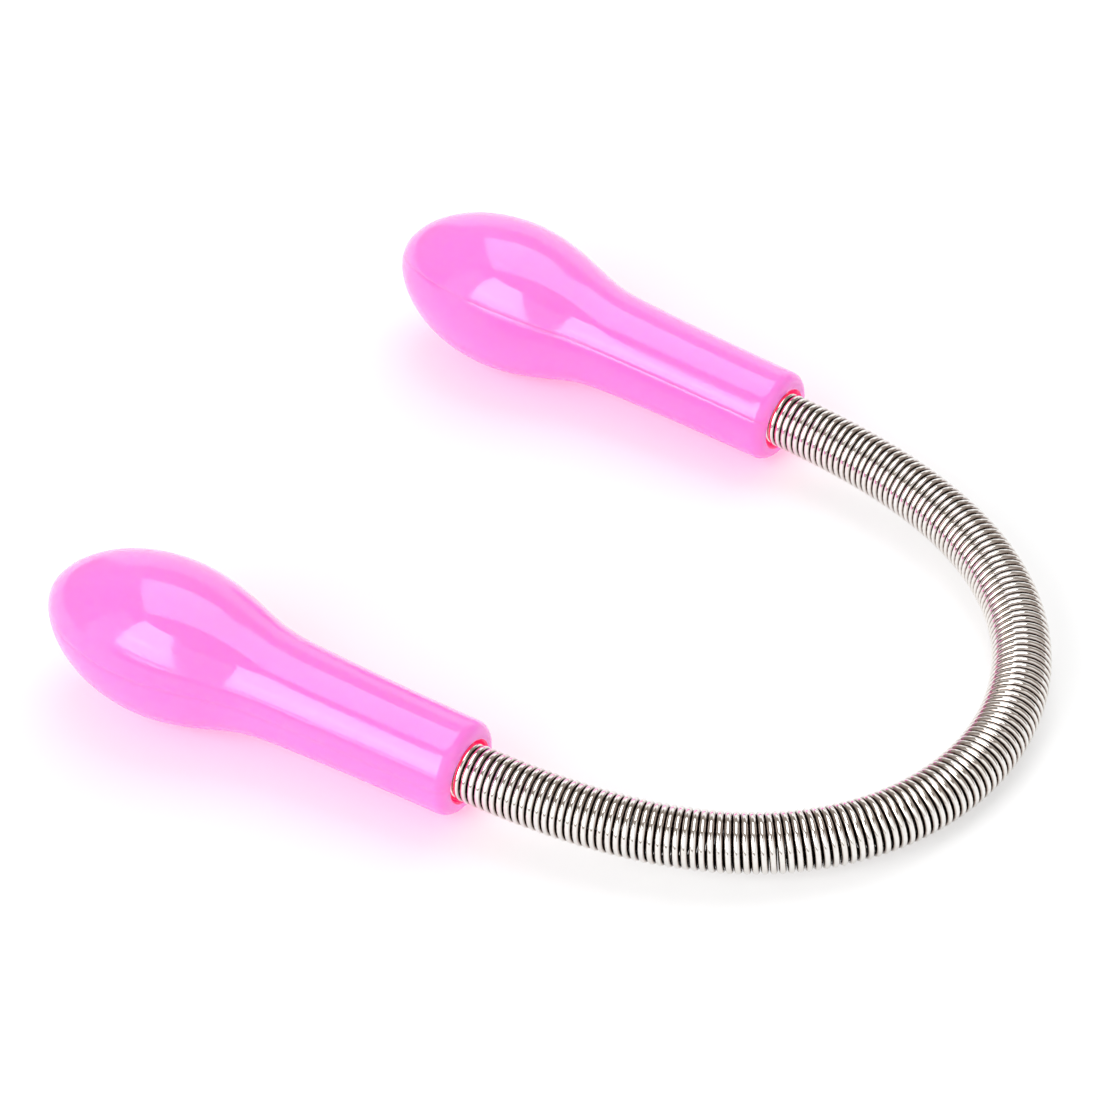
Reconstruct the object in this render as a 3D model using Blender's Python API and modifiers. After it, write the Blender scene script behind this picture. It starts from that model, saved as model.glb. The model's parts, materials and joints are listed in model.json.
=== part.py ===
"""Facial hair removal spring.

A long steel coil is bent into a U. Each of its ends is held in a hollow handle,
moulded as an upper and a lower half shell that part along the plane of the U.
The wire is one piece on the real tool. Here it is cut where it crosses the top of
the coil, and each stretch between two cuts is a link of its own, so that the coil
can bend. The links turn about axes square to the plane of the U, at the cuts.

The drawing plane is the plane of the U: the coil leaves handle A at the drawing's
origin along +X, turns to the left and enters handle B. The whole tool then leans
about Y until both bulbs and the bend of the coil touch the ground at Z = 0.
"""

import math

import bmesh
import bpy
import numpy as np
from mathutils import Matrix, Vector

# Coil, in metres
COIL_DIAMETER = 0.0070
WIRE_DIAMETER = 0.0008
COIL_LENGTH = 0.1315
CURLS = 84
POINTS_PER_CURL = 8
WIRE_BEVEL_RESOLUTION = 1

# Bend of the coil at rest: its whole angle, and how the bend gathers at the middle
BEND_ANGLE = math.radians(175.6)
MIDDLE_BEND_SHARE = 0.57
SHOULDER_BEND_SHARE = 0.085
CENTRELINE_STEPS = 4000
HINGES = 14

# Coil ends inside the handles, in turns, and the wider last turn that holds them
HIDDEN_TURNS = 1
GRIPPED_TURNS = 3
WIDE_TURNS = 1
FLARE_TURNS = 0.25
FLARE_WIDENING = 0.001

# Handles
HANDLE_LENGTH = 0.0587
BULB_DIAMETER = 0.0193
GRIP_DIAMETER = 0.0116
GRIP_WIDENING = 0.0028
SHELL_WALL = 0.0016
BULKHEAD = 0.0016
MOUTH_ROUNDING = 0.0015
MOUTH_CHAMFER = 0.0002
PEG_TIP_DEPTH = 0.0012
BULB_PLACE_SHARE = 0.72
BULB_SPREAD_SHARE = 0.355
NECK_SHARPNESS = 12
TIP_POWER = 0.58
NECK_RINGS = 15
TIP_RINGS = 7
ROUNDING_RINGS = 3
TURNED_STEPS = 32
SHARP_EDGE_ANGLE = math.radians(30)

# Snap pins that join the half shells, one in the grip and one in the bulb
PIN_DIAMETER = 0.002
PIN_HEIGHT = 0.0018
COLUMN_WALL = 0.0011
PIN_STEPS = 16
PIN_PLACE_SHARES = {"grip": 0.26, "bulb": 0.70}

# How far each handle is rolled at rest: its seam rises by this on the side of the first handle
RESTING_ROLLS = {"a": math.radians(13), "b": math.radians(30)}

# Clearances
PART_GAP = 0.0003
SOCKET_CLEARANCE = 0.0003
PEG_CLEARANCE = 0.0003
PIN_CLEARANCE = 0.0003
OVERRUN = 0.002
MERGE_DISTANCE = 1e-7
ATTITUDE_ROUNDS = 8

COIL_OUTER_RADIUS = COIL_DIAMETER / 2
COIL_MEAN_RADIUS = COIL_OUTER_RADIUS - WIRE_DIAMETER / 2
COIL_INNER_RADIUS = COIL_OUTER_RADIUS - WIRE_DIAMETER
PITCH = COIL_LENGTH / CURLS
PASSING_TURNS = (WIRE_DIAMETER + PART_GAP) / PITCH
BURIED_TURNS = HIDDEN_TURNS + PASSING_TURNS + GRIPPED_TURNS
FLARE_FROM_TURN = BURIED_TURNS - WIDE_TURNS
SPREAD = (math.pi - BEND_ANGLE) / 2

SOCKET_RADIUS = COIL_OUTER_RADIUS + SOCKET_CLEARANCE
GROOVE_RADIUS = SOCKET_RADIUS + FLARE_WIDENING
GROOVE_DEPTH = FLARE_FROM_TURN * PITCH - WIRE_DIAMETER / 2
SOCKET_DEPTH = BURIED_TURNS * PITCH + WIRE_DIAMETER / 2 + SOCKET_CLEARANCE
PEG_RADIUS = COIL_INNER_RADIUS - PEG_CLEARANCE
CAVITY_DEPTH = SOCKET_DEPTH + BULKHEAD

PINK = (0.99, 0.31, 0.86, 1.0)
STEEL = (0.78, 0.76, 0.74, 1.0)


def clear_scene():
    for old in list(bpy.data.objects):
        bpy.data.objects.remove(old, do_unlink=True)


def new_collection(name):
    collection = bpy.data.collections.new(name)
    bpy.context.scene.collection.children.link(collection)
    return collection


def new_material(name, colour, roughness, metallic):
    finish = bpy.data.materials.new(name)
    finish.use_nodes = True
    shader = finish.node_tree.nodes["Principled BSDF"]
    shader.inputs["Base Color"].default_value = colour
    shader.inputs["Roughness"].default_value = roughness
    shader.inputs["Metallic"].default_value = metallic
    return finish


def running_sum(values, step):
    """The area under the values from the start to each of them."""
    middles = (values[1:] + values[:-1]) / 2
    return np.concatenate([[0.0], np.cumsum(middles) * step])


# The bent centreline

SHARES = np.linspace(0, 1, CENTRELINE_STEPS + 1)
SHARE_STEP = 1 / CENTRELINE_STEPS
BEND_RATE = (
    1
    - MIDDLE_BEND_SHARE * np.cos(2 * math.pi * SHARES)
    - SHOULDER_BEND_SHARE * np.cos(4 * math.pi * SHARES)
)
BEND_DONE = running_sum(BEND_RATE, SHARE_STEP) / running_sum(BEND_RATE, SHARE_STEP)[-1]
HEADINGS = SPREAD + BEND_ANGLE * BEND_DONE
CENTRE_X = running_sum(np.cos(HEADINGS), SHARE_STEP) * COIL_LENGTH
CENTRE_Y = running_sum(np.sin(HEADINGS), SHARE_STEP) * COIL_LENGTH


def heading_at(place):
    """The direction of the centreline at a distance along it from the mouth of handle A."""
    return np.interp(place / COIL_LENGTH, SHARES, HEADINGS)


def centre_at(place):
    """A point of the centreline, which runs on straight inside both handles."""
    share = min(max(place / COIL_LENGTH, 0), 1)
    beyond = place - share * COIL_LENGTH
    heading = heading_at(place)
    return Vector((
        np.interp(share, SHARES, CENTRE_X) + beyond * math.cos(heading),
        np.interp(share, SHARES, CENTRE_Y) + beyond * math.sin(heading),
        0,
    ))


def hinge_turns():
    """The whole turn at each hinge: between hinges lies the same part of the bend, to half a turn."""
    bends = (np.arange(HINGES) + 0.5) / HINGES
    return [round(CURLS * share) for share in np.interp(bends, BEND_DONE, SHARES)]


def smooth_step(share):
    share = min(max(share, 0), 1)
    return share * share * (3 - 2 * share)


def wire_point(turn):
    """The middle of the wire after a number of turns, each of which starts at the top."""
    place = turn * PITCH
    depth_in_turns = max(-turn, turn - CURLS)
    flare = smooth_step((depth_in_turns - FLARE_FROM_TURN) / FLARE_TURNS)
    radius = COIL_MEAN_RADIUS + FLARE_WIDENING * flare
    heading = heading_at(place)
    outward = Vector((math.sin(heading), -math.cos(heading), 0))
    angle = 2 * math.pi * turn
    up = Vector((0, 0, 1))
    return centre_at(place) + radius * (math.sin(angle) * outward + math.cos(angle) * up)


def wire_turns(first, last, cut_first, cut_last):
    """The turns at which a link's tube has its points, drawn back a little at each cut."""
    half_cut = PART_GAP / 2 / (2 * math.pi * COIL_MEAN_RADIUS)
    steps = round((last - first) * POINTS_PER_CURL)
    turns = [first + step / POINTS_PER_CURL for step in range(steps + 1)]
    turns[0] += half_cut * cut_first
    turns[-1] -= half_cut * cut_last
    return turns


def least_gap(points):
    """The least air between stretches of one wire that lie at least half a turn apart."""
    finer = []
    for start, end in zip(points, points[1:]):
        finer += [start.lerp(end, share / POINTS_PER_CURL) for share in range(POINTS_PER_CURL)]
    places = np.array(finer)
    apart = POINTS_PER_CURL * POINTS_PER_CURL // 2
    nearest = min(
        np.linalg.norm(places[lag:] - places[:-lag], axis=1).min()
        for lag in range(apart, min(len(places), 4 * apart))
    )
    return nearest - WIRE_DIAMETER


def wire_link(name, turns, origin, finish, collection, parent):
    """One unbroken tube of wire, whose origin is on the axis that it turns about."""
    points = [wire_point(turn) for turn in turns]
    curve = bpy.data.curves.new(name, "CURVE")
    curve.dimensions = "3D"
    curve.bevel_depth = WIRE_DIAMETER / 2
    curve.bevel_resolution = WIRE_BEVEL_RESOLUTION
    curve.use_fill_caps = True
    spline = curve.splines.new("POLY")
    spline.points.add(len(points) - 1)
    for spot, point in zip(spline.points, points):
        spot.co = (*(point - origin), 1)
    curve.materials.append(finish)
    link = bpy.data.objects.new(name, curve)
    link.parent = parent
    link.location = origin
    collection.objects.link(link)
    print(f"{name}: least gap between curls {least_gap(points) * 1000:.3f} mm")
    return link


def make_coil(finish, collection, parent):
    """The links from handle A to handle B, and the coil ends that the handles grip.

    A gripped end rolls with its handle, so it starts where its wire passes clear of the link's.
    """
    cuts = [-HIDDEN_TURNS, *hinge_turns(), CURLS + HIDDEN_TURNS]
    hinges = [centre_at(turn * PITCH) for turn in hinge_turns()]
    half = HINGES // 2
    for number in range(HINGES + 1):
        rank = number - half
        side = "a" if rank < 0 else "b"
        name = f"coil_{side}{abs(rank)}" if rank else "coil_middle"
        if rank < 0:
            origin = hinges[number]
        elif rank > 0:
            origin = hinges[number - 1]
        else:
            origin = centre_at(COIL_LENGTH / 2)
        turns = wire_turns(cuts[number], cuts[number + 1], True, True)
        wire_link(name, turns, origin, finish, collection, parent)
    gripped_from = HIDDEN_TURNS + PASSING_TURNS
    end_a = wire_turns(-BURIED_TURNS, -gripped_from, False, False)
    end_b = wire_turns(CURLS + gripped_from, CURLS + BURIED_TURNS, False, False)
    wire_link("coil_end_a", end_a, centre_at(0), finish, collection, parent)
    wire_link("coil_end_b", end_b, centre_at(COIL_LENGTH), finish, collection, parent)


# Handles, modelled with the mouth at Z = 0, the tip at +Z and the upper side at +X


def handle_radius(depth, wall):
    """The radius at a depth from the mouth, of the outside or, less a wall, of the hollow."""
    bulb_place = BULB_PLACE_SHARE * HANDLE_LENGTH
    place = min(depth, bulb_place)
    grip = GRIP_DIAMETER / 2 + GRIP_WIDENING * (place / HANDLE_LENGTH) ** 2
    from_bulb = (bulb_place - place) / (BULB_SPREAD_SHARE * HANDLE_LENGTH)
    bulb = BULB_DIAMETER / 2 * math.exp(-(from_bulb**2))
    widest = (grip**NECK_SHARPNESS + bulb**NECK_SHARPNESS) ** (1 / NECK_SHARPNESS) - wall
    beyond = (depth - place) / (HANDLE_LENGTH - wall - bulb_place)
    return widest * max(1 - beyond * beyond, 0) ** TIP_POWER


def outline_from_tip(wall, lowest):
    """Radius and depth from the tip down to the lowest depth."""
    bulb_place = BULB_PLACE_SHARE * HANDLE_LENGTH
    tip = HANDLE_LENGTH - wall
    angles = [math.pi / 2 * ring / TIP_RINGS for ring in range(TIP_RINGS, 0, -1)]
    depths = [bulb_place + (tip - bulb_place) * math.sin(angle) for angle in angles]
    depths += list(np.linspace(bulb_place, MOUTH_ROUNDING, NECK_RINGS, endpoint=False))
    return [(handle_radius(depth, wall), depth) for depth in depths if depth > lowest]


def handle_outline():
    outline = outline_from_tip(0, 0)
    grip = GRIP_DIAMETER / 2
    for ring in range(ROUNDING_RINGS + 1):
        angle = math.pi / 2 * ring / ROUNDING_RINGS
        outline.append((
            grip - MOUTH_ROUNDING * (1 - math.cos(angle)),
            MOUTH_ROUNDING * (1 - math.sin(angle)),
        ))
    return [*outline, (0, 0)]


def cavity_outline():
    outline = outline_from_tip(SHELL_WALL, CAVITY_DEPTH)
    return [*outline, (handle_radius(CAVITY_DEPTH, SHELL_WALL), CAVITY_DEPTH), (0, CAVITY_DEPTH)]


def socket_outline():
    """The ring-shaped socket round the peg that stands inside the coil."""
    return [
        (0, PEG_TIP_DEPTH),
        (PEG_RADIUS, PEG_TIP_DEPTH),
        (PEG_RADIUS, SOCKET_DEPTH),
        (GROOVE_RADIUS, SOCKET_DEPTH),
        (GROOVE_RADIUS, GROOVE_DEPTH),
        (SOCKET_RADIUS, GROOVE_DEPTH),
        (SOCKET_RADIUS, MOUTH_CHAMFER),
        (SOCKET_RADIUS + MOUTH_CHAMFER + OVERRUN, -OVERRUN),
        (0, -OVERRUN),
    ]


def turned(name, outline, collection):
    """A solid turned about Z from an outline that runs down its outer side."""
    mesh = bpy.data.meshes.new(name)
    edges = [(number, number + 1) for number in range(len(outline) - 1)]
    mesh.from_pydata([(radius, 0, depth) for radius, depth in outline], edges, [])
    solid = bpy.data.objects.new(name, mesh)
    collection.objects.link(solid)
    screw = solid.modifiers.new("turn", "SCREW")
    screw.axis = "Z"
    screw.steps = screw.render_steps = TURNED_STEPS
    screw.use_merge_vertices = True
    screw.merge_threshold = MERGE_DISTANCE
    return solid


def column(name, radius, low, high, depth, collection):
    """A round column along X, from low to high, at a depth from the mouth."""
    shape = bmesh.new()
    bmesh.ops.create_cone(
        shape,
        cap_ends=True,
        segments=PIN_STEPS,
        radius1=radius,
        radius2=radius,
        depth=high - low,
    )
    turn_to_x = Matrix.Rotation(math.pi / 2, 4, "Y")
    shape.transform(Matrix.Translation(((low + high) / 2, 0, depth)) @ turn_to_x)
    mesh = bpy.data.meshes.new(name)
    shape.to_mesh(mesh)
    shape.free()
    solid = bpy.data.objects.new(name, mesh)
    collection.objects.link(solid)
    return solid


def half_space(name, side, collection):
    """A box over the half that is left out: from the parting face to beyond the other half."""
    reach = BULB_DIAMETER / 2 + OVERRUN
    length = HANDLE_LENGTH + 2 * OVERRUN
    depth = reach + PART_GAP / 2
    shape = bmesh.new()
    bmesh.ops.create_cube(shape, size=1)
    bmesh.ops.scale(shape, vec=(depth, 2 * reach, length), verts=shape.verts)
    middle = (side * (PART_GAP / 2 - depth / 2), 0, HANDLE_LENGTH / 2)
    bmesh.ops.translate(shape, vec=middle, verts=shape.verts)
    mesh = bpy.data.meshes.new(name)
    shape.to_mesh(mesh)
    shape.free()
    solid = bpy.data.objects.new(name, mesh)
    collection.objects.link(solid)
    return solid


def combine(solid, operation, other):
    step = solid.modifiers.new(f"{operation} {other.name}".lower(), "BOOLEAN")
    step.operation = operation
    step.object = other
    step.solver = "EXACT"
    other.hide_render = True
    other.display_type = "WIRE"


def half_shell_mesh(name, side, finish, tools):
    """The mesh of the half shell on the +X side (side 1) or the -X side (side -1)."""
    blank = turned(f"{name}_blank", handle_outline(), tools)
    combine(blank, "DIFFERENCE", turned(f"{name}_hollow", cavity_outline(), tools))
    combine(blank, "DIFFERENCE", turned(f"{name}_socket", socket_outline(), tools))
    combine(blank, "DIFFERENCE", half_space(f"{name}_other_half", side, tools))
    pin_radius = PIN_DIAMETER / 2
    for place, share in PIN_PLACE_SHARES.items():
        depth = share * HANDLE_LENGTH
        in_wall = handle_radius(depth, SHELL_WALL / 2)
        low, high = sorted((side * PART_GAP / 2, side * in_wall))
        boss_radius = pin_radius + PIN_CLEARANCE + COLUMN_WALL
        boss = column(f"{name}_{place}_boss", boss_radius, low, high, depth, tools)
        combine(blank, "UNION", boss)
        if side < 0:
            pin = column(
                f"{name}_{place}_pin", pin_radius, -PIN_HEIGHT, PIN_HEIGHT, depth, tools
            )
            combine(blank, "UNION", pin)
        else:
            hole_top = PIN_HEIGHT + PIN_CLEARANCE
            hole = column(
                f"{name}_{place}_hole", pin_radius + PIN_CLEARANCE, -OVERRUN, hole_top, depth, tools
            )
            combine(blank, "DIFFERENCE", hole)
    bpy.context.view_layer.update()
    finished = blank.evaluated_get(bpy.context.evaluated_depsgraph_get())
    mesh = bpy.data.meshes.new_from_object(finished)
    mesh.name = name
    mesh.materials.clear()
    mesh.materials.append(finish)
    mesh.shade_smooth()
    mesh.set_sharp_from_angle(angle=SHARP_EDGE_ANGLE)
    bpy.data.objects.remove(blank)
    return mesh


def handle_axis(side, place, direction, parent, collection):
    """An empty at a mouth: its Z runs into the handle, and its X is the handle's upper side."""
    up = Vector((0, 0, 1))
    across = direction.cross(up)
    level = Matrix((up, across, direction)).transposed().to_4x4()
    rolled = level @ Matrix.Rotation(RESTING_ROLLS[side], 4, "Z")
    axis = bpy.data.objects.new(f"handle_{side}_axis", None)
    axis.parent = parent
    axis.matrix_local = Matrix.Translation(centre_at(place)) @ rolled
    collection.objects.link(axis)
    return axis


def make_handles(finishes, collection, tools, parent):
    halves = {
        "upper_shell": half_shell_mesh("upper_shell", 1, finishes["upper"], tools),
        "lower_shell": half_shell_mesh("lower_shell", -1, finishes["lower"], tools),
    }
    heading_a, heading_b = heading_at(0), heading_at(COIL_LENGTH)
    into_a = -Vector((math.cos(heading_a), math.sin(heading_a), 0))
    into_b = Vector((math.cos(heading_b), math.sin(heading_b), 0))
    for side, place, direction in (("a", 0, into_a), ("b", COIL_LENGTH, into_b)):
        axis = handle_axis(side, place, direction, parent, collection)
        for half, mesh in halves.items():
            shell = bpy.data.objects.new(f"handle_{side}_{half}", mesh)
            shell.parent = axis
            collection.objects.link(shell)


def resting_lean():
    """The lean about Y at which the bulbs and the bend of the coil touch the same ground."""
    depths = np.linspace(0, HANDLE_LENGTH, CENTRELINE_STEPS)
    radii = np.array([handle_radius(depth, 0) for depth in depths])
    handle_x = -depths * math.cos(SPREAD)
    lean = 0
    for _ in range(ATTITUDE_ROUNDS):
        handle = np.argmin(-handle_x * math.sin(lean) - radii * math.cos(lean))
        coil = np.argmin(-CENTRE_X * math.sin(lean))
        span = CENTRE_X[coil] - handle_x[handle]
        lean = math.asin((radii[handle] * math.cos(lean) - COIL_OUTER_RADIUS) / span)
    height = CENTRE_X[coil] * math.sin(lean) + COIL_OUTER_RADIUS
    return lean, height


def resting_attitude(collection):
    """The parent of everything: leans the tool, and puts the middle of its base at the origin."""
    lean, height = resting_lean()
    tip_x = -HANDLE_LENGTH * math.cos(SPREAD) * math.cos(lean)
    bend_x = CENTRE_X.max() * math.cos(lean) + COIL_OUTER_RADIUS
    across_middle = CENTRE_Y[-1] / 2
    attitude = bpy.data.objects.new("resting_attitude", None)
    attitude.location = (-(tip_x + bend_x) / 2, -across_middle, height)
    attitude.rotation_euler = (0, lean, 0)
    collection.objects.link(attitude)
    return attitude


def main():
    clear_scene()
    parts = new_collection("facial_hair_removal_spring")
    tools = new_collection("cutters")
    steel = new_material("spring steel", STEEL, 0.2, 1.0)
    finishes = {
        "upper": new_material("pink upper shell", PINK, 0.25, 0.0),
        "lower": new_material("pink lower shell", PINK, 0.25, 0.0),
    }
    attitude = resting_attitude(parts)
    make_handles(finishes, parts, tools, attitude)
    make_coil(steel, parts, attitude)


main()
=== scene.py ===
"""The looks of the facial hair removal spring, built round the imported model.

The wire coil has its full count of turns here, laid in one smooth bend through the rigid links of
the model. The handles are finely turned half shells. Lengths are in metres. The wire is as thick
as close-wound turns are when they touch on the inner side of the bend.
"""

import json
import math

import bmesh
import bpy
import numpy as np
from mathutils import Matrix, Vector


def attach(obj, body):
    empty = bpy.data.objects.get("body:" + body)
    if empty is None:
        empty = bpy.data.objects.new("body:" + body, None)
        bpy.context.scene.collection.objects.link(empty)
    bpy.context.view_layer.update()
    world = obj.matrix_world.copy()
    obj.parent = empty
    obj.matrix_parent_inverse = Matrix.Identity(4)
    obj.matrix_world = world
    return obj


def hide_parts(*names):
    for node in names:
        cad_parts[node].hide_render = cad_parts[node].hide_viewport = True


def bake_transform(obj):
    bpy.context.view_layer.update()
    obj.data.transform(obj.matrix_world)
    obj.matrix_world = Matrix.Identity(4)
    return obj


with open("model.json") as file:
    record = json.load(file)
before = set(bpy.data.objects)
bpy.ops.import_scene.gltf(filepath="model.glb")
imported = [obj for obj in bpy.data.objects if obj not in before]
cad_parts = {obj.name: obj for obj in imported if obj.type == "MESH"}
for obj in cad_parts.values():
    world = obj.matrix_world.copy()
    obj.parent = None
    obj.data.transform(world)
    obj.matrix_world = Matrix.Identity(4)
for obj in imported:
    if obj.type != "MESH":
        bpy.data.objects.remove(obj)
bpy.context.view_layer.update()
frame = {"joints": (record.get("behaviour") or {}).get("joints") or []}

# Coil
COIL_DIAMETER = 0.0070
WIRE_DIAMETER = 0.00087
VISIBLE_TURNS = 143
STEPS_PER_TURN = 28
WIRE_BEVEL_RESOLUTION = 4
BEND_ANGLE = math.radians(175.6)
MIDDLE_BEND_SHARE = 0.57
SHOULDER_BEND_SHARE = 0.085
CENTRELINE_STEPS = 4000
SEARCH_STRIDE = 10
HINGES_PER_SIDE = 7
MARK_STEP = 0.0001
POINTS_AT_ONCE = 2000

# Coil inside the handles: the hidden end of the first link, and the gripped end
HIDDEN_DEPTH = 0.0015
GRIPPED_FROM = 0.0027
GRIPPED_TO = 0.0073
WIDE_DEPTH = 0.0015
FLARE_DEPTH = 0.0004
FLARE_WIDENING = 0.001

# Handles
HANDLE_LENGTH = 0.0587
BULB_DIAMETER = 0.0193
GRIP_DIAMETER = 0.0116
GRIP_WIDENING = 0.0028
SHELL_WALL = 0.0016
BULKHEAD = 0.0016
MOUTH_ROUNDING = 0.0015
MOUTH_CHAMFER = 0.0002
PEG_TIP_DEPTH = 0.0012
BULB_PLACE_SHARE = 0.72
BULB_SPREAD_SHARE = 0.355
NECK_SHARPNESS = 12
TIP_POWER = 0.58
NECK_RINGS = 60
TIP_RINGS = 26
ROUNDING_RINGS = 10
HALF_TURN_STEPS = 64
SEAM_GAP = 0.000002
SEAM_DEPTH = 0.00003
SEAM_ANGLE = math.radians(1.5)
SOCKET_CLEARANCE = 0.0003
GROOVE_DEPTH = 0.0054
SOCKET_DEPTH = 0.0081
SHARP_ANGLE = math.radians(28)
MERGE_DISTANCE = 1e-7

# How far each handle is rolled at rest, so that its seam rises on the camera's side
RESTING_ROLLS = {"a": math.radians(13), "b": math.radians(30)}

# The camera: where it stands, what it aims at, and how it is turned about its line of sight
CAMERA_PLACE = (0.19207, -0.24798, 0.30292)
CAMERA_AIM = (-0.01353, 0.00634, 0.0)
CAMERA_ROLL = math.radians(-7.29)
CAMERA_LENS = 118.5
SENSOR_WIDTH = 36.0

# Colours, and the ranges that roughness has
WHITE = (1, 1, 1, 1)
PINKS = ((1.0, 0.225, 0.71, 1), (1.0, 0.25, 0.74, 1))
PINK_ROUGHNESS = (0.05, 0.22)
PINK_WAVE_HEIGHT = 0.0002
PLASTIC_IOR = 1.5
# Painted glow: the bore is a deeper red than the plastic and glows, for the light through its
# walls in its shade
BORE_PAINTED_REDS = ((0.95, 0.01, 0.10, 1), (1.0, 0.04, 0.22, 1))
BORE_ROUGHNESS = (0.2, 0.35)
STEELS = ((0.86, 0.845, 0.83, 1), (0.79, 0.755, 0.71, 1))
STEEL_ROUGHNESS = (0.05, 0.14)
STEEL_LINE_HEIGHT = 0.000004
# Painted shade on the wire's flanks where the turns meet and on its side inside the coil: brown,
# then near black deeper in
PAINTED_BROWN_SHADE = (0.26, 0.18, 0.145, 1)
PAINTED_DARK_SHADE = (0.026, 0.014, 0.011, 1)

# Where the two painted shades on the wire fade out, as shares of its radius away from the middle
# line of the coil, and between which distances from the mouth they begin
BROWN_SHADE_EDGES = (0.53, 0.88)
DARK_SHADE_EDGES = (0.39, 0.64)
FADE_FROM = 0.0001
FADE_TO = 0.0004

# Noise: its broad scale, its fine scale and the share of the fine one, and how it is stretched
NOISE_DETAIL = 3
PINK_CLOUDS = (90, 700, 0.25)
PINK_RUBS = (400, 3500, 0.5)
PINK_WAVES = (110, 1200, 0.04)
PINK_STRETCH = (0.12, 1, 1)
BORE_CLOUDS = (500, 2500, 0.3)
STEEL_LINES = (3500, 14000, 0.5)
STEEL_TARNISH = (250, 2500, 0.3)
STEEL_STRETCH = (0.05, 1, 1)

# The table, the soft light, and painted glows on the plastic, the steel and the bore, which stand
# in for the light that comes through the plastic and off the steel
TABLE_SIZE = 1.2
TABLE_OWN_WHITE = 0.22
SOFT_LIGHT = 0.7
LIGHT_THROUGH = 0.6
PINK_LIGHT = (1.0, 0.03, 0.28, 1)
LIGHT_OFF_STEEL = 0.4
BORE_GLOW = 0.35

# The studio that shiny pieces see: where none of these lies, it has the brightness of the shade.
# Each patch on the walls has its brightness, then in degrees its left, right, bottom and top, and
# how soft its sides and its top are; azimuth starts at -X. The ceiling light is a rectangle, and
# its edges are in heights of the ceiling: along CEILING_AZIMUTH, which starts at +X, and across.
ROOM_SHADE = 0.34
WARM_SHADE = (1.0, 0.8, 0.65, 1)
WALL_PATCHES = (
    (1.3, 34, 150, -10, 53, 6, 3),
    (1.1, 140, 205, -10, 60, 20, 8),
    (1.15, 258, 328, -10, 29, 8, 6),
    (0.4, 50, 138, -1, 11, 12, 4),
    (4.3, 66, 97, 9, 13, 3, 1),
    (6.2, 57, 95, 15, 60, 2.5, 2),
    (10.0, 57, 94, 29, 36, 4, 4),
)
CEILING_AZIMUTH = 115
CEILING_LIGHT = (3.1, -0.16, 0.86, -0.4, 0.47, 0.05, 0.05)
LOWEST_RISE = 0.001

# Lamps that light the pieces: azimuth from +X, elevation, size and how bright each looks. What
# the shiny pieces see of them is in the studio above.
LAMP_DISTANCE = 0.9
LAMPS = {
    "window": (-104, 38, (0.5, 0.66), 3.0),
    "ceiling light": (95, 62, (0.7, 0.7), 2.0),
}


# Places along the coil

def joint_named(name):
    return next(joint for joint in frame["joints"] if joint["name"] == name)


MOUTH_A = Vector(joint_named("roll_a")["pos_m"])
MOUTH_B = Vector(joint_named("roll_b")["pos_m"])
UP = Vector(joint_named("flex_b1")["axis"]).normalized()
ACROSS = (MOUTH_B - MOUTH_A).normalized()
FORWARD = ACROSS.cross(UP)

COIL_RADIUS = (COIL_DIAMETER - WIRE_DIAMETER) / 2
SPREAD = (math.pi - BEND_ANGLE) / 2


def running_sum(values):
    middles = (values[1:] + values[:-1]) / 2
    return np.concatenate([[0.0], np.cumsum(middles) / CENTRELINE_STEPS])


SHARES = np.linspace(0, 1, CENTRELINE_STEPS + 1)
BEND_RATE = (
    1
    - MIDDLE_BEND_SHARE * np.cos(2 * math.pi * SHARES)
    - SHOULDER_BEND_SHARE * np.cos(4 * math.pi * SHARES)
)
HEADINGS = SPREAD + BEND_ANGLE * running_sum(BEND_RATE) / running_sum(BEND_RATE)[-1]
UNIT_FORWARD = running_sum(np.cos(HEADINGS))
UNIT_ACROSS = running_sum(np.sin(HEADINGS))
COIL_LENGTH = (MOUTH_B - MOUTH_A).length / float(UNIT_ACROSS[-1])
PITCH = COIL_LENGTH / VISIBLE_TURNS


def heading_at(place):
    return float(np.interp(place / COIL_LENGTH, SHARES, HEADINGS))


def centre_at(place):
    """A point of the coil's middle line, a distance along it from the mouth of handle A."""
    share = min(max(place / COIL_LENGTH, 0), 1)
    beyond = place - share * COIL_LENGTH
    heading = heading_at(place)
    forward = COIL_LENGTH * float(np.interp(share, SHARES, UNIT_FORWARD))
    across = COIL_LENGTH * float(np.interp(share, SHARES, UNIT_ACROSS))
    forward += beyond * math.cos(heading)
    across += beyond * math.sin(heading)
    return MOUTH_A + forward * FORWARD + across * ACROSS


def place_of(point):
    """How far along the middle line a point lies."""
    places = (SHARES[::SEARCH_STRIDE] * COIL_LENGTH).tolist()
    return min(places, key=lambda place: (centre_at(place) - point).length)


def smooth_step(share):
    share = min(max(share, 0), 1)
    return share * share * (3 - 2 * share)


def wire_point(place):
    """The middle of the wire where it passes a place along the coil; it starts at the top."""
    depth = max(-place, place - COIL_LENGTH)
    flare = smooth_step((depth - (GRIPPED_TO - WIDE_DEPTH)) / FLARE_DEPTH)
    radius = COIL_RADIUS + FLARE_WIDENING * flare
    heading = heading_at(place)
    outward = math.sin(heading) * FORWARD - math.cos(heading) * ACROSS
    angle = 2 * math.pi * place / PITCH
    return centre_at(place) + radius * (math.sin(angle) * outward + math.cos(angle) * UP)


# Meshes

def finished_object(name, mesh, materials):
    piece = bpy.data.objects.new(name, mesh)
    bpy.context.scene.collection.objects.link(piece)
    for material in materials:
        mesh.materials.append(material)
    return piece


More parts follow.
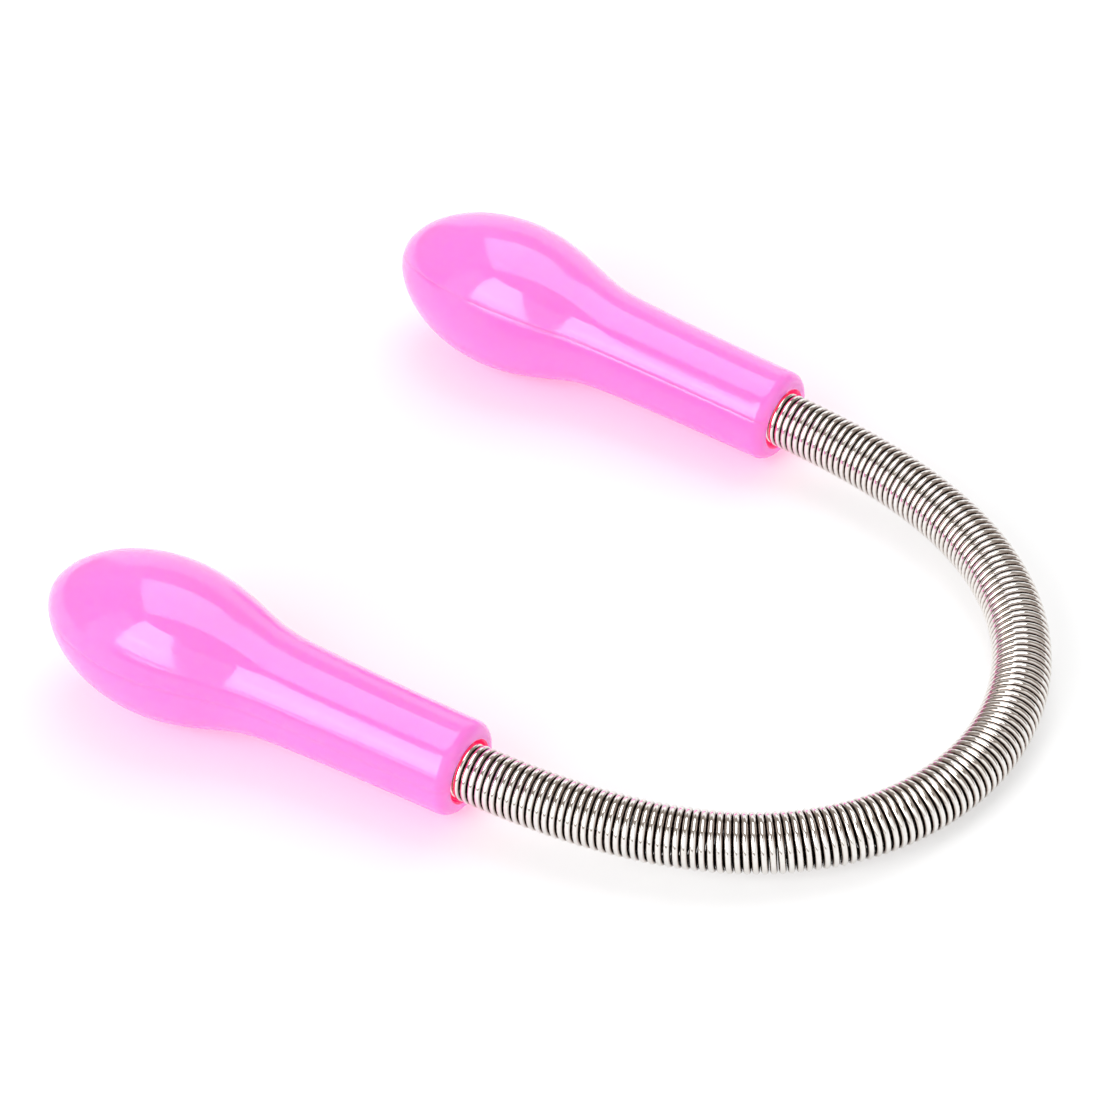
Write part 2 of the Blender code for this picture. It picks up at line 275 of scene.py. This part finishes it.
def mark_wire(mesh, first, last):
    """Stores where each point lies on the straight wire: the length along it, then across it.

    Across the wire, Y points away from the coil's middle line and Z along the coil.
    """
    spots = np.empty(3 * len(mesh.vertices))
    mesh.vertices.foreach_get("co", spots)
    spots = spots.reshape(-1, 3)
    steps = max(2, round((last - first) / MARK_STEP))
    places = np.linspace(first - PITCH, last + PITCH, steps)
    line = np.array([centre_at(place) for place in places.tolist()])
    nearest = np.empty(len(spots), dtype=int)
    for start in range(0, len(spots), POINTS_AT_ONCE):
        some = slice(start, start + POINTS_AT_ONCE)
        distances = np.linalg.norm(spots[some, None] - line[None], axis=2)
        nearest[some] = np.argmin(distances, axis=1)
    headings = np.interp(places[nearest] / COIL_LENGTH, SHARES, HEADINGS)[:, None]
    forward, across, up = np.array(FORWARD), np.array(ACROSS), np.array(UP)
    ahead = np.cos(headings) * forward + np.sin(headings) * across
    outward = np.sin(headings) * forward - np.cos(headings) * across
    offset = spots - line[nearest]
    along_coil = places[nearest] + np.sum(offset * ahead, axis=1)
    sideways = np.sum(offset * outward, axis=1)
    upwards = offset @ up
    turn = np.arctan2(sideways, upwards) / (2 * math.pi)
    turns = np.round(along_coil / PITCH - turn) + turn
    depth = np.maximum(-along_coil, along_coil - COIL_LENGTH)
    flare = np.clip((depth - (GRIPPED_TO - WIDE_DEPTH)) / FLARE_DEPTH, 0, 1)
    out = np.hypot(sideways, upwards) - COIL_RADIUS - FLARE_WIDENING * flare
    along_wire = turns * 2 * math.pi * COIL_RADIUS
    on_wire = np.column_stack((along_wire, out, along_coil - turns * PITCH))
    marks = mesh.attributes.new("on_wire", "FLOAT_VECTOR", "POINT")
    marks.data.foreach_set("vector", on_wire.ravel())


def wire_tube(name, first, last, steel):
    """A closed tube of wire from one place along the coil to another."""
    steps = max(2, round((last - first) / PITCH * STEPS_PER_TURN))
    points = [wire_point(first + (last - first) * step / steps) for step in range(steps + 1)]
    curve = bpy.data.curves.new(name, "CURVE")
    curve.dimensions = "3D"
    curve.bevel_depth = WIRE_DIAMETER / 2
    curve.bevel_resolution = WIRE_BEVEL_RESOLUTION
    curve.use_fill_caps = True
    spline = curve.splines.new("POLY")
    spline.points.add(len(points) - 1)
    for spot, point in zip(spline.points, points):
        spot.co = (*point, 1)
    guide = bpy.data.objects.new(f"{name}_guide", curve)
    bpy.context.scene.collection.objects.link(guide)
    bpy.context.view_layer.update()
    mesh = bpy.data.meshes.new_from_object(
        guide.evaluated_get(bpy.context.evaluated_depsgraph_get())
    )
    bpy.data.objects.remove(guide)
    shape = bmesh.new()
    shape.from_mesh(mesh)
    bmesh.ops.remove_doubles(shape, verts=shape.verts, dist=MERGE_DISTANCE)
    shape.to_mesh(mesh)
    shape.free()
    mesh.shade_smooth()
    mesh.name = name
    mesh.materials.clear()
    mark_wire(mesh, first, last)
    return finished_object(name, mesh, [steel])


def make_coil(steel):
    """Wire that follows the links, cut at the underside in the middle of each of them."""
    names = [f"a{rank}" for rank in range(HINGES_PER_SIDE, 0, -1)]
    names += [f"b{rank}" for rank in range(1, HINGES_PER_SIDE + 1)]
    hinges = [place_of(Vector(joint_named(f"flex_{name}")["pos_m"])) for name in names]
    bodies = [f"coil_{name}" for name in names]
    bodies.insert(HINGES_PER_SIDE, "coil_middle")
    borders = [0, *hinges, COIL_LENGTH]
    middles = [(start + end) / 2 for start, end in zip(borders, borders[1:])]
    cuts = [(math.floor(middle / PITCH) + 0.5) * PITCH for middle in middles]

    ends = {
        "a": (-HIDDEN_DEPTH, cuts[0]),
        "b": (cuts[-1], COIL_LENGTH + HIDDEN_DEPTH),
    }
    for name, (first, last) in ends.items():
        piece = wire_tube(f"wire_end_{name}", first, last, steel)
        body = f"coil_{name}{HINGES_PER_SIDE}"
        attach(piece, body)
        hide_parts(body)
    for number, name in enumerate(names):
        first, last = cuts[number], cuts[number + 1]
        piece = wire_tube(f"wire_bend_{name}", first, last, steel)
        before, after = bodies[number], bodies[number + 1]
        centre_at(first)
        centre_at(last)
        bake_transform(piece)
        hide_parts(before, after)
    grips = {
        "a": (-GRIPPED_TO, -GRIPPED_FROM),
        "b": (COIL_LENGTH + GRIPPED_FROM, COIL_LENGTH + GRIPPED_TO),
    }
    for name, (first, last) in grips.items():
        piece = wire_tube(f"wire_gripped_{name}", first, last, steel)
        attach(piece, f"handle_{name}")
        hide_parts(f"coil_end_{name}")


# Handles, modelled with the mouth at Z = 0, the tip at +Z and the upper side at +X

def handle_radius(depth, wall):
    """The radius at a depth from the mouth, of the outside or, less a wall, of the hollow."""
    bulb_place = BULB_PLACE_SHARE * HANDLE_LENGTH
    place = min(depth, bulb_place)
    grip = GRIP_DIAMETER / 2 + GRIP_WIDENING * (place / HANDLE_LENGTH) ** 2
    from_bulb = (bulb_place - place) / (BULB_SPREAD_SHARE * HANDLE_LENGTH)
    bulb = BULB_DIAMETER / 2 * math.exp(-(from_bulb**2))
    widest = (grip**NECK_SHARPNESS + bulb**NECK_SHARPNESS) ** (1 / NECK_SHARPNESS) - wall
    beyond = (depth - place) / (HANDLE_LENGTH - wall - bulb_place)
    return widest * max(1 - beyond * beyond, 0) ** TIP_POWER


def outline_from_tip(wall, lowest):
    bulb_place = BULB_PLACE_SHARE * HANDLE_LENGTH
    tip = HANDLE_LENGTH - wall
    angles = [math.pi / 2 * ring / TIP_RINGS for ring in range(TIP_RINGS, 0, -1)]
    depths = [bulb_place + (tip - bulb_place) * math.sin(angle) for angle in angles]
    depths += list(np.linspace(bulb_place, MOUTH_ROUNDING, NECK_RINGS, endpoint=False))
    return [(handle_radius(depth, wall), depth) for depth in depths if depth > lowest]


def outer_outline():
    """From the tip over the outside to the mouth, in along the socket and out to the peg's tip."""
    outline = outline_from_tip(0, 0)
    grip = GRIP_DIAMETER / 2
    for ring in range(ROUNDING_RINGS + 1):
        angle = math.pi / 2 * ring / ROUNDING_RINGS
        outline.append((
            grip - MOUTH_ROUNDING * (1 - math.cos(angle)),
            MOUTH_ROUNDING * (1 - math.sin(angle)),
        ))
    socket = COIL_DIAMETER / 2 + SOCKET_CLEARANCE
    peg = COIL_DIAMETER / 2 - WIRE_DIAMETER - SOCKET_CLEARANCE
    return [
        *outline,
        (socket + MOUTH_CHAMFER, 0),
        (socket, MOUTH_CHAMFER),
        (socket, GROOVE_DEPTH),
        (socket + FLARE_WIDENING, GROOVE_DEPTH),
        (socket + FLARE_WIDENING, SOCKET_DEPTH),
        (peg, SOCKET_DEPTH),
        (peg, PEG_TIP_DEPTH),
        (0, PEG_TIP_DEPTH),
    ]


def hollow_outline():
    deepest = SOCKET_DEPTH + BULKHEAD
    outline = outline_from_tip(SHELL_WALL, deepest)
    return [*outline, (handle_radius(deepest, SHELL_WALL), deepest), (0, deepest)]


def half_turned(shape, outline, side):
    """Turns an outline through the half turn over the upper side (1) or the lower one (-1)."""
    spots = [shape.verts.new((0, radius * side, depth)) for radius, depth in outline]
    edges = [shape.edges.new(pair) for pair in zip(spots, spots[1:])]
    line = [*spots, *edges]
    turns = ((SEAM_ANGLE, 1), (math.pi - 2 * SEAM_ANGLE, HALF_TURN_STEPS), (SEAM_ANGLE, 1))
    for angle, steps in turns:
        turned = bmesh.ops.spin(
            shape, geom=line, cent=(0, 0, 0), axis=(0, 0, -1), angle=angle, steps=steps
        )
        line = turned["geom_last"]


def sink_seam(shape):
    """Draws the outer rim of the parting face inwards, so that the halves meet in a groove."""
    for spot in shape.verts:
        radius = abs(spot.co.y)
        outside = handle_radius(spot.co.z, 0)
        if spot.co.z < MOUTH_ROUNDING:
            outside = GRIP_DIAMETER / 2 - MOUTH_ROUNDING
        on_rim = abs(spot.co.x) < MERGE_DISTANCE and radius > outside - MOUTH_CHAMFER
        if on_rim and radius > 2 * SEAM_DEPTH:
            spot.co.y *= 1 - SEAM_DEPTH / radius


def mark_bore(shape):
    """Gives the faces of the chamfer, the socket and its groove the second material."""
    socket = COIL_DIAMETER / 2 + SOCKET_CLEARANCE
    for face in shape.faces:
        middle = face.calc_center_median()
        radius = math.hypot(middle.x, middle.y)
        deep = GROOVE_DEPTH < middle.z < SOCKET_DEPTH + MERGE_DISTANCE
        in_socket = radius < socket + MOUTH_CHAMFER and middle.z < SOCKET_DEPTH
        in_groove = radius < socket + FLARE_WIDENING and deep
        if in_socket or in_groove:
            face.material_index = 1


def half_shell_mesh(name, side):
    """A half shell, closed by its parting face."""
    shape = bmesh.new()
    half_turned(shape, outer_outline(), side)
    half_turned(shape, hollow_outline(), side)
    bmesh.ops.remove_doubles(shape, verts=shape.verts, dist=MERGE_DISTANCE)
    sink_seam(shape)
    rim = [edge for edge in shape.edges if edge.is_boundary]
    bmesh.ops.triangle_fill(shape, use_beauty=True, edges=rim)
    bmesh.ops.recalc_face_normals(shape, faces=shape.faces)
    mark_bore(shape)
    mesh = bpy.data.meshes.new(name)
    shape.to_mesh(mesh)
    shape.free()
    return mesh


def make_handles(pink, bore_pink):
    for name in ("a", "b"):
        joint = joint_named(f"roll_{name}")
        mouth = Vector(joint["pos_m"])
        inward = Vector(joint["axis"]).normalized()
        if inward.dot(FORWARD) > 0:
            inward = -inward
        level = Matrix((UP, inward.cross(UP), inward)).transposed().to_4x4()
        attitude = level @ Matrix.Rotation(RESTING_ROLLS[name], 4, "Z")
        for half, side in (("upper", 1), ("lower", -1)):
            mesh = half_shell_mesh(f"{half}_{name}", side)
            mesh.transform(Matrix.Translation((side * SEAM_GAP / 2, 0, 0)))
            mesh.transform(Matrix.Translation(mouth) @ attitude)
            mesh.shade_smooth()
            mesh.set_sharp_from_angle(angle=SHARP_ANGLE)
            piece = finished_object(f"{half}_shell_{name}", mesh, [pink, bore_pink])
            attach(piece, f"handle_{name}")
            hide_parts(f"handle_{name}_{half}_shell")


# Node trees

def feed(tree, node, inputs):
    """Gives inputs of a node, by name or number, plain values or the outputs of other nodes."""
    for socket, value in inputs.items():
        if isinstance(value, bpy.types.NodeSocket):
            tree.links.new(value, node.inputs[socket])
        else:
            node.inputs[socket].default_value = value


def add_node(tree, kind, inputs=None, **settings):
    node = tree.nodes.new(kind)
    for name, setting in settings.items():
        setattr(node, name, setting)
    feed(tree, node, inputs or {})
    return node


def add_math(tree, operation, first, second=0):
    node = add_node(tree, "ShaderNodeMath", {0: first, 1: second}, operation=operation)
    return node.outputs["Value"]


def add_mix(tree, kind, factor, first, second):
    """Mixes two numbers (FLOAT) or two colours (RGBA) by a factor."""
    inputs = {"Factor": factor, "A": first, "B": second}
    return add_node(tree, "ShaderNodeMix", inputs, data_type=kind).outputs["Result"]


def add_range(tree, value, low, high, from_low, from_high, interpolation="LINEAR"):
    """Maps a value from one range to another, and holds it there."""
    inputs = {
        "Value": value,
        "From Min": from_low,
        "From Max": from_high,
        "To Min": low,
        "To Max": high,
    }
    node = add_node(tree, "ShaderNodeMapRange", inputs, interpolation_type=interpolation)
    return node.outputs["Result"]


def new_group(name, inputs):
    """A node group with inputs of these kinds and one output, Value."""
    tree = bpy.data.node_groups.new(name, "ShaderNodeTree")
    for socket, kind in inputs.items():
        tree.interface.new_socket(name=socket, in_out="INPUT", socket_type=kind)
    tree.interface.new_socket(name="Value", in_out="OUTPUT", socket_type="NodeSocketFloat")
    return tree, tree.nodes.new("NodeGroupInput").outputs


def two_scale_noise():
    """A node group: broad and fine noise mixed, about 0.5, for marks of handling and flow."""
    inputs = {
        "Vector": "NodeSocketVector",
        "Broad Scale": "NodeSocketFloat",
        "Fine Scale": "NodeSocketFloat",
        "Fine Share": "NodeSocketFloat",
    }
    tree, given = new_group("two scale noise", inputs)
    noises = []
    for scale in ("Broad Scale", "Fine Scale"):
        inputs = {"Vector": given["Vector"], "Scale": given[scale], "Detail": NOISE_DETAIL}
        noises.append(add_node(tree, "ShaderNodeTexNoise", inputs).outputs["Fac"])
    mixed = add_mix(tree, "FLOAT", given["Fine Share"], *noises)
    add_node(tree, "NodeGroupOutput", {"Value": mixed})
    return tree


def add_noise(tree, group, vector, scales):
    broad, fine, share = scales
    inputs = {"Vector": vector, "Broad Scale": broad, "Fine Scale": fine, "Fine Share": share}
    return add_node(tree, "ShaderNodeGroup", inputs, node_tree=group).outputs["Value"]


def add_stretch(tree, vector, scale):
    node = add_node(tree, "ShaderNodeMapping", {"Vector": vector, "Scale": scale})
    return node.outputs["Vector"]


# Finishes

def new_material(name):
    """A material, its node tree and its shader."""
    material = bpy.data.materials.new(name)
    material.use_nodes = True
    return material, material.node_tree, material.node_tree.nodes["Principled BSDF"]


def add_bump(tree, height, distance, strength):
    inputs = {"Height": height, "Distance": distance, "Strength": strength}
    return add_node(tree, "ShaderNodeBump", inputs).outputs["Normal"]


def light_other_things(tree, strength):
    """The strength of a painted glow on a piece, for light through or off it: only other things
    see it, where it falls on them.
    """
    path = add_node(tree, "ShaderNodeLightPath")
    return add_math(tree, "MULTIPLY", path.outputs["Is Diffuse Ray"], strength)


def pink_plastic(noise_group):
    """Glossy, slightly see-through pink, with the faint flow lines of moulding along it."""
    material, tree, shader = new_material("glossy pink plastic")
    place = add_node(tree, "ShaderNodeTexCoord").outputs["Object"]
    flow = add_stretch(tree, place, PINK_STRETCH)
    clouds = add_noise(tree, noise_group, flow, PINK_CLOUDS)
    rubs = add_noise(tree, noise_group, flow, PINK_RUBS)
    waves = add_noise(tree, noise_group, flow, PINK_WAVES)
    feed(tree, shader, {
        "Base Color": add_mix(tree, "RGBA", add_range(tree, clouds, 0, 1, 0.3, 0.7), *PINKS),
        "Roughness": add_range(tree, rubs, *PINK_ROUGHNESS, 0.35, 0.7),
        "IOR": PLASTIC_IOR,
        "Specular IOR Level": 0.35,
        "Coat Weight": 0.4,
        "Coat Roughness": 0.03,
        "Subsurface Weight": 0.85,
        "Subsurface Radius": (1.0, 0.3, 0.75),
        "Subsurface Scale": 0.001,
        "Normal": add_bump(tree, waves, PINK_WAVE_HEIGHT, 0.5),
        # Painted glow, seen only by other things: it tints the table pink near the handle
        "Emission Color": PINK_LIGHT,
        "Emission Strength": light_other_things(tree, LIGHT_THROUGH),
    })
    return material


def bore_plastic(noise_group):
    """The same plastic where the bore is in shade, painted a deeper red and given a painted glow,
    for the light through its walls.
    """
    material, tree, shader = new_material("pink plastic in the bore")
    place = add_node(tree, "ShaderNodeTexCoord").outputs["Object"]
    clouds = add_noise(tree, noise_group, place, BORE_CLOUDS)
    red = add_mix(tree, "RGBA", add_range(tree, clouds, 0, 1, 0.3, 0.7), *BORE_PAINTED_REDS)
    feed(tree, shader, {
        "Base Color": red,
        "Roughness": add_range(tree, clouds, *BORE_ROUGHNESS, 0.3, 0.7),
        "IOR": PLASTIC_IOR,
        # Painted glow: the bore glows red though it is no lamp
        "Emission Color": red,
        "Emission Strength": BORE_GLOW,
    })
    return material


def spring_steel(noise_group):
    """Bright drawn wire: fine lines along it, and painted shade, brown then near black, on its
    flanks where the turns meet and on its side inside the coil.

    In the handles it has none, so it mirrors the red of the bore.
    """
    material, tree, shader = new_material("polished spring steel")
    mark = add_node(tree, "ShaderNodeAttribute", attribute_name="on_wire").outputs["Vector"]
    along_wire, out, along_turn = add_node(tree, "ShaderNodeSeparateXYZ", {0: mark}).outputs
    drawn = add_stretch(tree, mark, STEEL_STRETCH)
    lines = add_noise(tree, noise_group, drawn, STEEL_LINES)
    tarnish = add_noise(tree, noise_group, mark, STEEL_TARNISH)
    colour = add_mix(tree, "RGBA", add_range(tree, tarnish, 0, 1, 0.35, 0.7), *STEELS)

    pitch_share = PITCH / (2 * math.pi * COIL_RADIUS)
    wound = add_math(tree, "MULTIPLY", along_wire, pitch_share)
    along_coil = add_math(tree, "ADD", wound, along_turn)
    out_of_a = add_range(tree, along_coil, 0, 1, FADE_FROM, FADE_TO)
    out_of_b = add_range(tree, along_coil, 1, 0, COIL_LENGTH - FADE_TO, COIL_LENGTH - FADE_FROM)
    outside = add_math(tree, "MULTIPLY", out_of_a, out_of_b)
    # Painted shade between the turns: brown, then near black, on the flanks and the side inside
    # the coil
    for dark, edges in ((PAINTED_BROWN_SHADE, BROWN_SHADE_EDGES), (PAINTED_DARK_SHADE, DARK_SHADE_EDGES)):
        inside = add_range(tree, out, 1, 0, *(edge * WIRE_DIAMETER / 2 for edge in edges))
        share = add_math(tree, "MULTIPLY", inside, outside)
        colour = add_mix(tree, "RGBA", share, colour, dark)
    feed(tree, shader, {
        "Base Color": colour,
        "Metallic": 1,
        "Roughness": add_range(tree, lines, *STEEL_ROUGHNESS, 0.3, 0.7),
        "Normal": add_bump(tree, lines, STEEL_LINE_HEIGHT, 0.4),
        # Painted glow, seen only by other things: it lightens the table's shade near the wire
        "Emission Color": WHITE,
        "Emission Strength": light_other_things(tree, LIGHT_OFF_STEEL),
    })
    return material


# Studio

def direction(azimuth, elevation):
    azimuth, elevation = math.radians(azimuth), math.radians(elevation)
    return Vector((
        math.cos(elevation) * math.cos(azimuth),
        math.cos(elevation) * math.sin(azimuth),
        math.sin(elevation),
    ))


def make_lamps():
    """Soft lamps that face the tool, and that shiny pieces don't mirror."""
    for name, (azimuth, elevation, size, radiance) in LAMPS.items():
        towards = direction(azimuth, elevation)
        lamp = bpy.data.lights.new(name, "AREA")
        lamp.shape = "RECTANGLE"
        lamp.size, lamp.size_y = size
        lamp.energy = radiance * math.pi * size[0] * size[1]
        placed = bpy.data.objects.new(name, lamp)
        bpy.context.scene.collection.objects.link(placed)
        attitude = towards.to_track_quat("Z", "Y").to_matrix().to_4x4()
        placed.matrix_world = Matrix.Translation(towards * LAMP_DISTANCE) @ attitude
        placed.visible_glossy = False


def seen_directly(tree):
    """1 for rays from the camera, or off metal, or through the plastic; 0 for plain light."""
    path = add_node(tree, "ShaderNodeLightPath").outputs
    first = add_math(tree, "MAXIMUM", path["Is Camera Ray"], path["Is Glossy Ray"])
    return add_math(tree, "MAXIMUM", first, path["Is Transmission Ray"])


def make_floor():
    """A white table. The camera sees part of its white as its own, so the shadows are faint."""
    material, tree, shader = new_material("white table")
    feed(tree, shader, {
        "Base Color": (0.94, 0.94, 0.94, 1),
        "Roughness": 0.6,
        "Specular IOR Level": 0.1,
    })
    white = add_node(tree, "ShaderNodeEmission", {"Color": WHITE})
    path = add_node(tree, "ShaderNodeLightPath")
    share = add_math(tree, "MULTIPLY", path.outputs["Is Camera Ray"], TABLE_OWN_WHITE)
    shaders = {0: share, 1: shader.outputs["BSDF"], 2: white.outputs["Emission"]}
    mixed = add_node(tree, "ShaderNodeMixShader", shaders)
    feed(tree, tree.nodes["Material Output"], {"Surface": mixed.outputs["Shader"]})
    shape = bmesh.new()
    bmesh.ops.create_grid(shape, x_segments=1, y_segments=1, size=TABLE_SIZE / 2)
    mesh = bpy.data.meshes.new("table")
    shape.to_mesh(mesh)
    shape.free()
    finished_object("table", mesh, [material])


def studio_patch():
    """A node group: 1 inside a block of two coordinates, 0 outside, with soft edges."""
    names = ("Along", "Up", "Left", "Right", "Bottom", "Top", "Side Softness", "Top Softness")
    tree, given = new_group("studio patch", dict.fromkeys(names, "NodeSocketFloat"))
    product = 1
    edges = (
        ("Along", "Left", "Side Softness"),
        ("Right", "Along", "Side Softness"),
        ("Up", "Bottom", "Top Softness"),
        ("Top", "Up", "Top Softness"),
    )
    for higher, lower, softness in edges:
        past = add_math(tree, "SUBTRACT", given[higher], given[lower])
        ramp = add_range(tree, past, 0, 1, 0, given[softness], "SMOOTHSTEP")
        product = add_math(tree, "MULTIPLY", ramp, product)
    add_node(tree, "NodeGroupOutput", {"Value": product})
    return tree


def studio_brightness(tree, towards):
    """How bright the studio is in each direction: the shade, and the patches over it."""
    x, y, z = add_node(tree, "ShaderNodeSeparateXYZ", {0: towards}).outputs
    turn = add_math(tree, "DEGREES", add_math(tree, "ARCTAN2", y, x))
    # from 0 at -X, over -Y, +X and +Y, to 360 degrees
    azimuth = add_math(tree, "ADD", turn, 180)
    elevation = add_math(tree, "DEGREES", add_math(tree, "ARCSINE", z))
    height = add_math(tree, "MAXIMUM", z, LOWEST_RISE)
    on_ceiling = []
    for angle in (CEILING_AZIMUTH, CEILING_AZIMUTH + 90):
        both = {0: towards, 1: direction(angle, 0)}
        reach = add_node(tree, "ShaderNodeVectorMath", both, operation="DOT_PRODUCT")
        on_ceiling.append(add_math(tree, "DIVIDE", reach.outputs["Value"], height))
    patch_group = studio_patch()
    places = [(azimuth, elevation)] * len(WALL_PATCHES) + [on_ceiling]
    brightness = ROOM_SHADE
    for place, (value, *edges) in zip(places, [*WALL_PATCHES, CEILING_LIGHT]):
        inputs = dict(enumerate([*place, *edges]))
        patch = add_node(tree, "ShaderNodeGroup", inputs, node_tree=patch_group)
        difference = add_math(tree, "SUBTRACT", value, brightness)
        change = add_math(tree, "MULTIPLY", difference, patch.outputs["Value"])
        brightness = add_math(tree, "ADD", change, brightness)
    return brightness


def make_world():
    """An even soft light. Shiny pieces see a studio in it: a window, a ceiling, dark corners."""
    world = bpy.data.worlds.new("studio")
    bpy.context.scene.world = world
    world.use_nodes = True
    tree = world.node_tree
    tree.nodes.clear()
    towards = add_node(tree, "ShaderNodeTexCoord").outputs["Generated"]
    path = add_node(tree, "ShaderNodeLightPath")
    studio = studio_brightness(tree, towards)
    brightness = add_mix(tree, "FLOAT", path.outputs["Is Camera Ray"], studio, 1)
    colour = add_mix(tree, "RGBA", brightness, WARM_SHADE, WHITE)
    soft = add_node(tree, "ShaderNodeBackground", {"Color": WHITE, "Strength": SOFT_LIGHT})
    seen = add_node(tree, "ShaderNodeBackground", {"Color": colour, "Strength": brightness})
    lights = {0: seen_directly(tree), 1: soft.outputs[0], 2: seen.outputs[0]}
    mixed = add_node(tree, "ShaderNodeMixShader", lights)
    add_node(tree, "ShaderNodeOutputWorld", {"Surface": mixed.outputs["Shader"]})


def make_camera():
    lens = bpy.data.cameras.new("camera")
    lens.sensor_width = SENSOR_WIDTH
    lens.lens = CAMERA_LENS
    camera = bpy.data.objects.new("camera", lens)
    bpy.context.scene.collection.objects.link(camera)
    aim = Vector(CAMERA_AIM) - Vector(CAMERA_PLACE)
    level = aim.to_track_quat("-Z", "Y").to_matrix().to_4x4()
    turned = level @ Matrix.Rotation(CAMERA_ROLL, 4, "Z")
    camera.matrix_world = Matrix.Translation(CAMERA_PLACE) @ turned
    bpy.context.scene.camera = camera


def main():
    noise_group = two_scale_noise()
    make_coil(spring_steel(noise_group))
    make_handles(pink_plastic(noise_group), bore_plastic(noise_group))
    make_floor()
    make_world()
    make_lamps()
    make_camera()
    bpy.context.scene.view_settings.view_transform = "Standard"


main()
